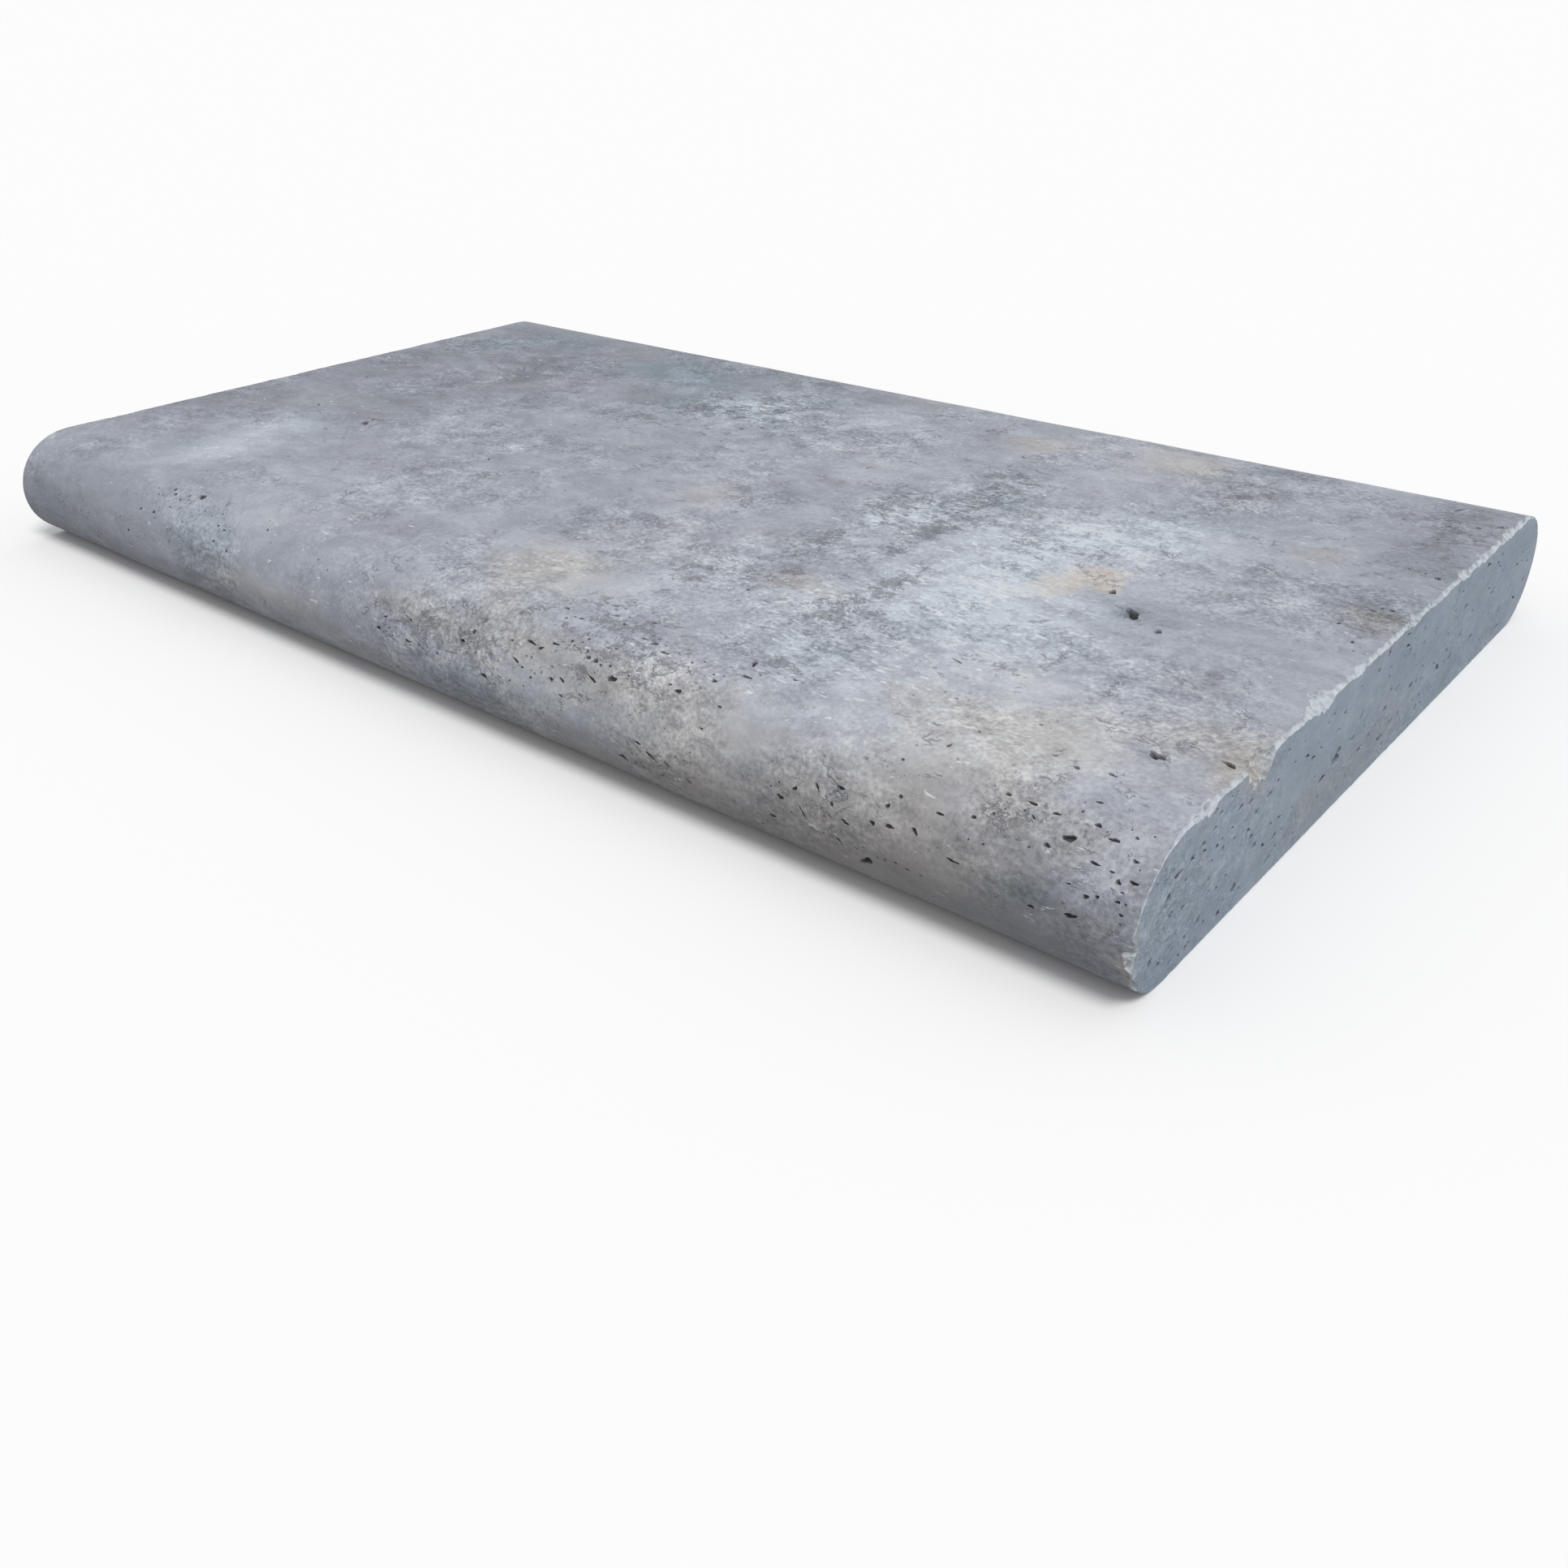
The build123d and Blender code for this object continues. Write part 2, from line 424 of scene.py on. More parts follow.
def clear_of_arris(pore):
    """Say whether a pore on the skin ends before the broken arris begins."""
    x, y, reach, _, _ = pore
    right = np.interp(y, arris_across, right_edge)
    left = np.interp(y, arris_across, left_edge)
    return left + 0.75 * reach + 0.8 < x < right - 0.58 * reach - 0.3


kept = [i for i, pore in enumerate(skin_pores) if clear_of_arris(pore)]
skin_pores, skin_waves = [skin_pores[i] for i in kept], skin_waves[kept]
skin_flat, skin_faces = triangulate(skin_outline, np.concatenate([grid, *beside]),
                                    skin_pores, skin_waves)
skin_depth, skin_pore_shade = pore_depths(skin_flat, skin_pores, skin_waves)
print(f"skin: {len(skin_flat)} points, {len(skin_faces)} triangles, {len(skin_pores)} pores")

# %% [markdown]
# The ends are flat, so they are cut into triangles as they stand. What bounds each one is
# the lower ragged line of the broken arris. Close rows follow that line inwards.

# %% Triangulate the ends
END_STEP = 4.4  # between points, where nothing asks for more


def half_width_at(height):
    """Return how far the section reaches from its middle at this height."""
    return np.interp(height, wall_z[::-1][1:-1], wall_y[::-1][1:-1])


def cut_end(side, pores):
    """Return an end's flat points, triangles, pore depths, and its outline."""
    over_end = breaks[side][1][:-1]
    across = arris_across[:-1]
    outline = np.stack(on_section(across, over_end), 1)
    beside = [np.stack(on_section(across, over_end + gap), 1)[::skip]
              for gap, skip in ((1.5, 2), (3.6, 3))]
    spread = np.stack(np.meshgrid(
        np.arange(-width / 2, width / 2, END_STEP), np.arange(2, thickness, END_STEP),
        indexing="ij"), -1).reshape(-1, 2)
    gaps = np.hypot(*(spread[:, None] - outline[None]).transpose(2, 0, 1)).min(axis=1)
    inside = np.abs(spread[:, 0]) < half_width_at(spread[:, 1])
    spread = spread[(gaps > END_STEP + 0.2) & inside]

    def fits(pore):
        away = np.hypot(outline[:, 0] - pore[0], outline[:, 1] - pore[1]).min()
        return away > 0.58 * pore[2] + 0.3 and abs(pore[0]) < half_width_at(pore[1])

    pores = [pore for pore in pores if fits(pore)]
    waves = rim_waves(pores, chance)
    flat, faces = triangulate(outline, np.concatenate([spread, *beside]), pores, waves)
    depth, share = pore_depths(flat, pores, waves)
    print(f"end {side:+d}: {len(flat)} points, {len(faces)} triangles, {len(pores)} pores")
    return flat, faces, depth, share, outline


ends = {1: cut_end(1, right_pores), -1: cut_end(-1, left_pores)}

# %% [markdown]
# Everything is flat so far, and three functions say where a flat point lies in space. The
# skin bends round the section. The ends stand up. The broken arris is drawn as rows between
# the two, hollowed a little and roughened with noise, so that its small faces catch light
# one by one as crushed stone does.

# %% Bend everything into place
END_WAVES = 0.4  # the saw leaves the ends flatter than the brush leaves the skin
BAND_ROWS = 5


def place_skin(flat, depth):
    """Return the places in space of points on the unrolled skin."""
    fade = np.clip((bed_start - np.abs(flat[:, 1])) / 24, 0, 1)
    y, z = on_section(flat[:, 1], depth + fade * swell(flat))
    return np.stack([flat[:, 0], y, z], 1)


def place_end(flat, side, depth):
    """Return the places in space of points on an end."""
    x = side * (length / 2 - depth - END_WAVES * swell(flat))
    return np.stack([x, flat[:, 0], flat[:, 1]], 1)


def place_band(side, edge, outline):
    """Return the broken arris as rows from the skin to the end, in space and unrolled."""
    across = arris_across[:-1]
    start = np.stack([edge[:-1], across], 1)
    top_row = place_skin(start, np.zeros(len(across)))
    end_row = place_end(outline, side, np.zeros(len(across)))
    above, below = on_section(across, 0.0), on_section(across, 1.0)
    inwards = np.stack([np.full(len(across), -side), *np.subtract(below, above)], 1)
    span = np.linalg.norm(end_row - top_row, axis=1)
    rows, unrolled = [top_row], [start]
    for share in np.linspace(0, 1, BAND_ROWS)[1:]:
        row = top_row + (end_row - top_row) * share
        rough = np.array([noise.noise(Vector(p / 1.1)) for p in row])
        hollow = 0.10 * span + np.minimum(0.30, 0.2 * span) * rough
        hollow *= math.sin(math.pi * share)
        rows.append(row + inwards * hollow[:, None] if share < 1 else end_row)
        unrolled.append(start + np.stack([side * share * span, np.zeros(len(across))], 1))
    return np.concatenate(rows), np.concatenate(unrolled)


def band_faces(count, side):
    """Return triangles between the rows of a band, as indices into its stacked rows."""
    faces = []
    for row in range(BAND_ROWS - 1):
        for i in range(count):
            a, b = row * count + i, row * count + (i + 1) % count
            c, d = a + count, b + count
            quad = [(a, c, d), (a, d, b)] if (i + row) % 2 else [(a, c, b), (b, c, d)]
            faces += quad if side > 0 else [face[::-1] for face in quad]
    return np.array(faces)


print(f"broken arris: {BAND_ROWS} rows")

# %% [markdown]
# The pieces of skin meet on shared lines. Each shared point is worked out by the same
# function from the same numbers, so both sides give exactly the same place, and points
# that agree are joined into one. That closes the mesh with no gap and no double wall. Each
# triangle also gets the number of its finish: brushed, sawn bed, sawn end or broken.

# %% Join the pieces
BRUSHED, BED, SAWN, BROKEN = range(4)
under = np.abs(skin_flat[skin_faces][:, :, 1]).min(axis=1) > bed_start - 2.5
# Each piece is: places, unrolled points, pore shares, triangles, finish of each triangle.
pieces = [(place_skin(skin_flat, skin_depth), skin_flat, skin_pore_shade, skin_faces,
           np.where(under, BED, BRUSHED))]
for side, (flat, end_faces, depth, share, outline) in ends.items():
    end_faces = end_faces if side > 0 else end_faces[:, ::-1]
    pieces.append((place_end(flat, side, depth), flat, share, end_faces,
                   np.full(len(end_faces), SAWN)))
    places, unrolled = place_band(side, right_edge if side > 0 else left_edge, outline)
    strip = band_faces(len(outline), side)
    pieces.append((places, unrolled, np.zeros(len(places)), strip,
                   np.full(len(strip), BROKEN)))

starts = np.cumsum([0] + [len(piece[0]) for piece in pieces[:-1]])
places, unrolled, shares = [np.concatenate([piece[i] for piece in pieces]) for i in range(3)]
corners = np.concatenate([piece[3] + start for piece, start in zip(pieces, starts)])
finishes = np.concatenate([piece[4] for piece in pieces])
owner = np.concatenate([np.full(len(piece[3]), i) for i, piece in enumerate(pieces)])

_, first, joined = np.unique(np.round(places, 4), axis=0, return_index=True,
                             return_inverse=True)
faces = joined.reshape(-1)[corners]
whole = (faces != np.roll(faces, -1, 1)).all(axis=1)
faces, corners, finishes, owner = faces[whole], corners[whole], finishes[whole], owner[whole]
used, faces = np.unique(faces, return_inverse=True)
faces = faces.reshape(-1, 3)
first = first[used]
RIGHT_END, LEFT_END = 1, 3  # places in the list of pieces
on_end = np.isin(np.searchsorted(starts, first, side="right") - 1, (RIGHT_END, LEFT_END))
print(f"slab: {len(first)} points, {len(faces)} triangles")

# %% [markdown]
# Blender takes the points and triangles as lists. Smooth shading hides the facets of the
# noses, and crumbled stone does without it: in a pore and on the arris each face should
# catch the light by itself. The last line is a test. In a closed mesh every edge has
# exactly two faces, so the number it prints is 0.

# %% Make the mesh
def put(name, data):
    """Put a new object with this data into the scene, and return it."""
    made = bpy.data.objects.new(name, data)
    bpy.context.scene.collection.objects.link(made)
    return made


mesh = bpy.data.meshes.new("travertine_slab")
mesh.from_pydata((places[first] * METRES).tolist(), [], faces.tolist())
mesh.polygons.foreach_set("material_index", finishes.astype(np.int32))
in_pore = shares[corners].max(axis=1) > 0.02
crumbled = in_pore | (finishes == BROKEN)
mesh.polygons.foreach_set("use_smooth", ~crumbled)
# Where smooth skin meets crumbled stone the edge is marked sharp, so that the shading of
# one doesn't run on into the other.
edge_of = np.empty(len(mesh.loops), np.int32)
mesh.loops.foreach_get("edge_index", edge_of)
crumbled_sides = np.bincount(edge_of, np.repeat(crumbled, 3), len(mesh.edges))
mesh.attributes.new("sharp_edge", "BOOLEAN", "EDGE").data.foreach_set(
    "value", crumbled_sides == 1)
slab = put("travertine_slab", mesh)
sides_met = np.sort(np.stack([faces, np.roll(faces, -1, 1)], -1).reshape(-1, 2), axis=1)
_, met = np.unique(sides_met, axis=0, return_counts=True)
print(f"edges with other than two faces: {(met != 2).sum()}")

# %% [markdown]
# Baking the colours into an image needs a layout. The wrapper is one already, so it becomes
# the UV map as it is: skin and broken arris in one island, the right end above it and the
# left end beside it, all at one scale. Only the hidden underside is laid at half width,
# which leaves more of the image for the faces that show.

# %% Lay the wrapper out for baking
LAYOUT_GAP = 6.0
LAYOUT_EDGE = 9.0  # the broken arris reaches this far past the skin at most
layout = np.zeros((len(corners) * 3, 2))
reach = np.abs(unrolled[:, 1])
packed = np.sign(unrolled[:, 1]) * (np.minimum(reach, bed_start)
                                    + 0.5 * np.maximum(reach - bed_start, 0))
half_packed = bed_start + 0.5 * (half_round - bed_start)
sheet = length + 2 * LAYOUT_EDGE + thickness + 3 * LAYOUT_GAP
for piece in range(len(pieces)):
    mine = np.repeat(owner == piece, 3)
    point = corners.reshape(-1)[mine]
    if piece == RIGHT_END:
        layout[mine, 0] = (LAYOUT_GAP + half_packed + unrolled[point, 0]) / sheet
        layout[mine, 1] = (sheet - LAYOUT_GAP - thickness + unrolled[point, 1]) / sheet
    elif piece == LEFT_END:
        layout[mine, 0] = (2 * (LAYOUT_GAP + half_packed) + unrolled[point, 1]) / sheet
        layout[mine, 1] = (sheet / 2 + unrolled[point, 0]) / sheet
    else:
        layout[mine, 0] = (LAYOUT_GAP + half_packed + packed[point]) / sheet
        layout[mine, 1] = (LAYOUT_GAP + LAYOUT_EDGE + length / 2 + unrolled[point, 0]) / sheet
wrapper = mesh.uv_layers.new(name="OFBake")
wrapper.uv.foreach_set("vector", layout.reshape(-1).astype(np.float32))
print(f"layout: {sheet:.0f} mm square, used up to {layout.max(axis=0).round(3)}")

# %% [markdown]
# Silver travertine is calcite laid down by a hot spring in thin beds, with clay, iron and
# old algae between them. So its tone drifts over a hand's breadth, its grey leans blue in
# one bed and beige in the next, and dark threads run where a bed was cut through. Which bed
# lies where is particular to a stone. Soft ellipses on the wrapper say it, as a painter
# blocks in a picture, and the noise in the shader breaks up their outlines. They were put
# down one by one, and made stronger or weaker until each patch came near the real slab's tone.

# %% Paint the beds on the wrapper
# Each mark is: along, across, half its length, half its width, turn, strength. On the skin
# across runs down the front nose below -147.8. On an end the first two are across and up.
skin_marks = {
    "light": [
        (-290, 40, 170, 200, 0, -0.24), (-110, 120, 95, 34, 0, -0.12),
        (-190, 128, 60, 36, 0, -0.10), (20, 142, 66, 16, 0, -0.13),
        (-202, 54, 20, 66, 0, -0.15), (-270, 140, 40, 16, 0, -0.06),
        (-216, -48, 16, 16, 0, -0.09), (-162, 74, 14, 16, 0, -0.10),
        (-98, 72, 30, 66, 0, -0.12), (-30, 106, 34, 22, 0, -0.11), (-78, 150, 22, 14, 0, -0.12),
        (84, -92, 14, 46, 0, 0.08), (-118, -164, 24, 14, 0, 0.04), (100, -166, 40, 12, 0, 0.05),
        (272, -184, 24, 16, 0, -0.05), (60, -130, 34, 14, 0, 0.07),
        (206, 148, 20, 10, 0, -0.14), (122, -14, 12, 40, 0, 0.09), (168, 30, 38, 18, -10, 0.12),
        (202, -10, 12, 12, 0, 0.12), (124, 28, 10, 12, 0, 0.09), (272, -134, 26, 18, 0, 0.12),
        (278, 12, 22, 30, 0, 0.09), (2, -160, 26, 12, 0, 0.12), (206, -160, 28, 14, 0, 0.19),
        (244, -154, 22, 12, 0, 0.12), (204, 74, 12, 16, 0, -0.10),
        (-208, -118, 24, 32, 10, 0.34), (-220, -80, 20, 24, -30, 0.20),
        (-206, 43, 7, 20, 15, 0.09), (-190, 96, 9, 14, 0, 0.07), (-185, 36, 5, 8, 0, 0.09),
        (-265, -40, 30, 14, 15, -0.04), (-78, 68, 14, 10, 10, -0.17),
        (-46, 92, 34, 26, 0, 0.07), (-25, 62, 5, 4, 0, -0.14), (-32, 53, 3, 3, 0, -0.2),
        (113, 58, 13, 24, 10, -0.12), (86, 20, 9, 10, 0, -0.09), (96, -2, 10, 12, 0, -0.05),
        (124, -15, 5, 34, 0, -0.08), (97, -48, 6, 16, 0, -0.10), (146, -62, 4, 26, 0, -0.14),
        (108, -126, 34, 20, 0, 0.10), (144, -100, 11, 8, 0, -0.10), (106, -76, 7, 6, 0, -0.10),
        (78, -95, 9, 14, 0, -0.10), (70, 126, 9, 20, 0, -0.10), (180, 8, 40, 68, 0, 0.22),
        (190, -72, 46, 48, 0, 0.18), (145, -38, 16, 60, 0, 0.08), (206, 34, 34, 34, 0, 0.10),
        (20, 10, 60, 90, 0, 0.05), (150, 112, 48, 40, 0, 0.08), (205, 112, 16, 30, 0, -0.10),
        (160, 136, 30, 16, 0, 0.08), (292, 104, 26, 66, 0, -0.24),
        (290, 14, 20, 16, -20, -0.10), (252, 4, 26, 14, -25, 0.06), (45, -12, 20, 20, 0, -0.14),
        (42, 70, 18, 14, 0, -0.12), (-80, -94, 22, 16, 0, -0.10), (38, -125, 46, 36, 0, 0.08),
        (235, -120, 70, 46, 0, 0.11), (226, -35, 6, 6, 0, -0.30), (216, -32, 10, 5, 20, -0.10),
        (232, -28, 9, 4, 35, -0.08), (80, -56, 16, 14, 0, 0.07), (80, -130, 20, 14, 0, 0.06),
        (250, -10, 26, 2.4, 36, 0.16), (226, -36, 4, 3, -40, -0.3), (275, 4, 9, 3, 20, 0.10),
        (270, -60, 30, 24, 0, -0.05), (60, -188, 110, 14, 4, 0.12), (90, -184, 60, 8, 0, 0.10),
        (-20, -183, 50, 9, 0, -0.06), (256, -193, 66, 14, 0, -0.16),
        (100, -178, 30, 5, -6, -0.10), (270, -187, 9, 3.6, 4, -0.40),
        (238, -188, 30, 10, 0, 0.06), (-200, -194, 90, 8, 0, 0.06),
        (-160, -172, 20, 14, 0, 0.10), (160, -158, 80, 12, 0, 0.06),
        (0, 180, 240, 30, 0, -0.04), (-150, 190, 60, 26, 0, 0.08),
        (288, -192, 18, 12, 0, -0.12), (-280, -183, 24, 10, 0, -0.12),
        (-90, 142, 50, 14, 0, -0.12), (200, 142, 18, 12, 0, -0.10),
        (284, 140, 22, 16, 0, -0.14), (-40, 112, 20, 12, 0, -0.10),
        (-200, 70, 20, 14, 0, -0.12), (-120, 72, 18, 12, 0, -0.10),
        (-100, -56, 34, 14, 0, -0.12), (-122, -88, 14, 12, 0, -0.10),
        (120, -50, 14, 12, 0, 0.10), (2, 30, 20, 14, 0, 0.09), (-204, -10, 16, 14, 0, -0.09),
        (40, -10, 16, 12, 0, -0.07), (-240, -54, 16, 10, 0, -0.08),
    ],
    "blue": [
        (-245, 122, 40, 24, 0, 0.7), (-270, 100, 20, 14, 0, 0.7), (-130, 116, 42, 28, 0, 1.1),
        (-60, 84, 56, 40, 0, 0.7), (-80, 68, 14, 10, 0, 0.8), (-60, 0, 70, 60, 0, 0.3),
        (-215, -68, 26, 14, -20, 0.6), (-230, -120, 14, 30, 0, 0.4),
        (-128, -65, 16, 14, 0, 0.6), (-255, -85, 16, 12, 0, 0.4), (-110, -20, 26, 20, 0, 0.4),
        (110, 10, 34, 60, 0, 0.5), (170, -20, 36, 70, 0, 0.5), (195, 40, 36, 40, 0, 0.5),
        (190, -80, 36, 30, 0, 0.4), (225, -38, 14, 10, 0, 0.9), (150, -130, 22, 14, 0, 0.6),
        (-150, -176, 60, 16, 0, 0.7), (-260, -180, 50, 20, 0, 0.4), (270, -187, 9, 3.6, 4, 2.2),
        (262, -179, 20, 5, 0, -0.6), (30, -196, 34, 8, 0, 0.5), (84, -200, 26, 8, 0, 0.5),
        (-30, 125, 30, 20, 0, 0.5), (30, 140, 26, 12, 0, 0.4),
    ],
    "warm": [
        (35, -60, 22, 40, 0, 0.35), (30, -130, 34, 30, 0, 0.9), (120, -84, 22, 14, 0, 0.9),
        (236, -138, 46, 32, 0, 1.0), (165, 132, 24, 26, 0, 1.1), (100, 120, 26, 18, 0, 0.7),
        (256, 60, 14, 20, 0, 0.7), (292, 14, 14, 12, 0, 0.9), (290, -104, 16, 18, 0, 0.6),
        (206, 108, 12, 16, 0, 0.3), (20, -30, 16, 18, 0, 0.7), (-200, 60, 20, 34, 0, 0.3),
        (-255, -35, 36, 12, 20, 0.4), (70, -172, 50, 12, 4, 0.7), (0, -176, 40, 8, 0, 0.5),
        (130, -170, 60, 14, 6, 0.7), (214, -186, 80, 18, 0, 0.8), (130, -190, 40, 12, 0, 0.4),
        (-100, -192, 60, 8, 0, 0.5), (256, -170, 40, 18, 0, 0.6), (306, -112, 9, 15, 0, 2.4),
        (120, -212, 200, 12, 0, 0.8), (190, -200, 110, 12, 0, 0.6),
        (-190, -212, 120, 10, 0, 0.5), (80, 175, 90, 24, 0, 0.6),
    ],
    "rust": [
        (307, -107, 7, 10, 0, 0.9), (303, -200, 5, 12, 0, 0.5), (200, -12, 14, 13, -30, 1.0),
        (190, -31, 13, 11, 0, 0.8), (209, -20, 5, 4, 0, 0.9), (292, 8, 6, 5, 0, 0.25),
        (276, -8, 4, 3, 0, 0.2), (101, -6, 3, 3, 0, 0.3), (52, -184, 20, 4, 5, 0.35),
        (148, -160, 6, 2, 25, 0.35), (200, -104, 3, 1.5, 0, 0.6),
    ],
    "veins": [
        (113, 60, 18, 28, 10, 1.3), (90, 12, 16, 20, 0, 1.4), (124, -10, 9, 44, 0, 1.4),
        (98, -46, 9, 22, 0, 1.1), (145, -62, 7, 34, 0, 1.4), (144, -100, 15, 9, 0, 1.3),
        (106, -76, 9, 8, 0, 1.2), (78, -98, 12, 18, 0, 1.1), (70, 126, 12, 24, 0, 0.9),
        (205, 106, 12, 30, 0, 0.7), (-78, 68, 16, 12, 0, 1.4), (-46, 84, 40, 34, 0, 0.9),
        (-192, 55, 9, 26, 0, 0.5), (-192, -48, 14, 10, -40, 0.7), (-152, 76, 12, 6, 0, 0.5),
        (-125, 98, 12, 10, 0, 0.5), (-92, 148, 18, 8, 0, 0.5), (290, 110, 20, 44, 0, 0.7),
        (292, 10, 16, 16, 0, 0.7), (90, -148, 26, 18, 0, 1.0), (155, -142, 26, 12, 0, 1.0),
        (165, 5, 12, 16, 0, 0.8), (20, -181, 40, 9, 0, 0.8), (104, -171, 50, 13, 0, 0.6),
        (205, -184, 30, 9, 0, 0.3), (270, -166, 24, 10, 0, 0.5), (-166, -166, 24, 8, 0, 0.8),
        (130, -194, 24, 7, 0, 0.5), (-60, 40, 60, 20, 0, 0.3), (-250, -190, 60, 14, 0, 0.4),
        (0, 190, 260, 26, 0, 0.6), (226, -36, 7, 6, 0, 1.0), (-70, -178, 44, 24, 0, -0.8),
        (166, -180, 18, 16, 0, -0.8), (250, -204, 80, 12, 0, -1.0),
        (-230, -150, 70, 60, 0, -0.5), (34, -124, 30, 24, 0, -0.6), (-180, 20, 60, 60, 0, -0.3),
    ],
    "flecks": [
        (162, 0, 36, 62, 0, 1.2), (185, -70, 46, 46, 0, 1.0), (-100, -34, 9, 8, 0, 1.4),
        (-46, 88, 40, 30, 0, 1.2), (130, -95, 34, 30, 0, 0.9), (100, 0, 24, 34, 0, 1.3),
        (112, 55, 20, 26, 0, 0.9), (170, -130, 60, 22, 0, 0.8), (240, -140, 50, 14, 0, 0.5),
        (-208, -118, 22, 28, 0, 0.6), (-204, 44, 8, 18, 0, 0.7), (130, -160, 110, 12, 0, 0.4),
        (60, 78, 24, 14, 0, 0.4), (30, 60, 30, 20, 0, 0.4), (212, 90, 18, 20, 0, 0.4),
        (20, -156, 6, 4, 0, 0.8), (-60, -180, 160, 14, 0, 0.3), (270, 3, 14, 5, 20, 0.7),
        (80, -96, 30, 16, 0, 0.6), (0, 185, 260, 26, 0, 0.4),
    ],
}
print(f"{sum(len(marks) for marks in skin_marks.values())} marks on the skin")

# %% [markdown]
# The ends show the same beds from the side. They are cut clean and look calmer, so fewer
# marks do, and the same ones serve both ends.

# %% Paint the beds on the ends
end_marks = {
    # Four of the light marks darken a band about a centimetre above the foot of each end.
    "light": [(-110, 46, 14, 6, -30, 0.10), (-40, 10, 90, 8, 0, -0.10), (60, 8, 60, 6, 0, -0.06),
              (150, 30, 40, 20, 0, 0.04), (-146, 32, 36, 16, 0, 0.08), (-46, 20, 20, 6, 10, -0.05),
              (140, 38, 34, 7, 0, -0.08), (16, 41, 14, 4, -15, -0.08), (-60, 38, 40, 6, -15, 0.05),
              (70, 34, 30, 6, -12, 0.05), (-130, 10, 30, 6, 0, -0.06), (100, 12, 30, 6, -8, -0.06)],
    "blue": [(60, 28, 150, 22, 0, 0.5)],
    "warm": [(-20, 10, 60, 9, 0, 1.5), (6, 22, 14, 12, -30, 0.6), (-108, 44, 14, 7, -30, 1.6),
             (-62, 16, 14, 8, -40, 0.6), (-176, 24, 4, 18, 0, 0.8)],
    "rust": [(-108, 44, 10, 5, -30, 0.3)],
    "veins": [(-150, 25, 30, 22, 0, 0.8), (-20, 12, 60, 10, 0, 0.6), (60, 20, 80, 16, 0, 0.4)],
    "flecks": [(-20, 34, 160, 14, 0, 0.2)],
}
print(f"{sum(len(marks) for marks in end_marks.values())} marks on each end")

# %% [markdown]
# A mark is strongest in its middle and fades like a hill. Where marks overlap they add up.
# The sums are stored on the mesh as attributes, one number a point for each kind of mark,
# and the stone's material reads them from there by name.

# %% Put the marks on the mesh
def painted(points, marks):
    """Return the marks' total strength at each point."""
    total = np.zeros(len(points))
    for x, y, half_long, half_wide, turn, strength in marks:
        away = points - (x, y)
        cos, sin = math.cos(math.radians(turn)), math.sin(math.radians(turn))
        u = (away[:, 0] * cos + away[:, 1] * sin) / half_long
        v = (away[:, 1] * cos - away[:, 0] * sin) / half_wide
        total += strength * np.exp(-1.3 * (u ** 2 + v ** 2))
    return total


for name, marks in skin_marks.items():
    values = np.where(on_end, painted(unrolled[first], end_marks[name]),
                      painted(unrolled[first], marks))
    mesh.attributes.new(name, "FLOAT", "POINT").data.foreach_set("value", values)
    print(f"{name}: {values.min():.2f} to {values.max():.2f}")
# The pore shares go on as well, and the material turns them into painted shade.
mesh.attributes.new("pore", "FLOAT", "POINT").data.foreach_set("value", shares[first])

# %% [markdown]
# Colours are written as a screen shows them, in sRGB hex. Cycles adds light up, so it needs
# linear values, and one function turns the first into the second. One more function adds a
# shader node with its settings and links, which keeps each material readable as a list. It
# takes a node in place of a socket, and then links that node's first output.

# %% Two helpers for materials
MM = 1000.0  # Object coordinates are in metres, and the scales below in millimetres


def linear(hex_colour):
    """Return an sRGB hex colour as the linear values that a shader takes."""
    parts = [int(hex_colour[i:i + 2], 16) / 255 for i in (1, 3, 5)]
    return [c / 12.92 if c <= 0.04045 else ((c + 0.055) / 1.055) ** 2.4 for c in parts] + [1.0]


def add(tree, kind, inputs=(), stops=(), **settings):
    """Add a node, give it its settings, and set or link its inputs, by name or in order."""
    made = tree.nodes.new(kind)
    for name, value in settings.items():
        setattr(made, name, value)
    for socket, value in inputs.items() if isinstance(inputs, dict) else enumerate(inputs):
        if isinstance(value, bpy.types.Node):
            value = next(output for output in value.outputs if output.enabled)
        if isinstance(value, bpy.types.NodeSocket):
            tree.links.new(value, made.inputs[socket])
        else:
            made.inputs[socket].default_value = value
    for i, (place, colour) in enumerate(stops):
        stop = made.color_ramp.elements[i] if i < 2 else made.color_ramp.elements.new(1)
        stop.position, stop.color = place, linear(colour)
    return made


print(f"mid grey #808080 is {linear('#808080')[0]:.3f} in linear light")

# %% [markdown]
# The stone's body is the same under every finish, so it is one node group. It works in the
# solid, from Object coordinates, so that beds run through from the skin to the ends. Two
# things bend those coordinates first. A broad noise pushes them about, because the spring
# never laid a straight bed, and a mapping tilts and squeezes them, because beds are flat.

# %% Silver travertine: where its beds lie
body = bpy.data.node_groups.new("silver travertine", "ShaderNodeTree")
for name, kind in (("Colour", "Color"), ("Inside", "Float"), ("Relief", "Float")):
    body.interface.new_socket(name, in_out="OUTPUT", socket_type=f"NodeSocket{kind}")
painter = {name: add(body, "ShaderNodeAttribute", attribute_name=name).outputs["Fac"]
           for name in (*skin_marks, "pore")}

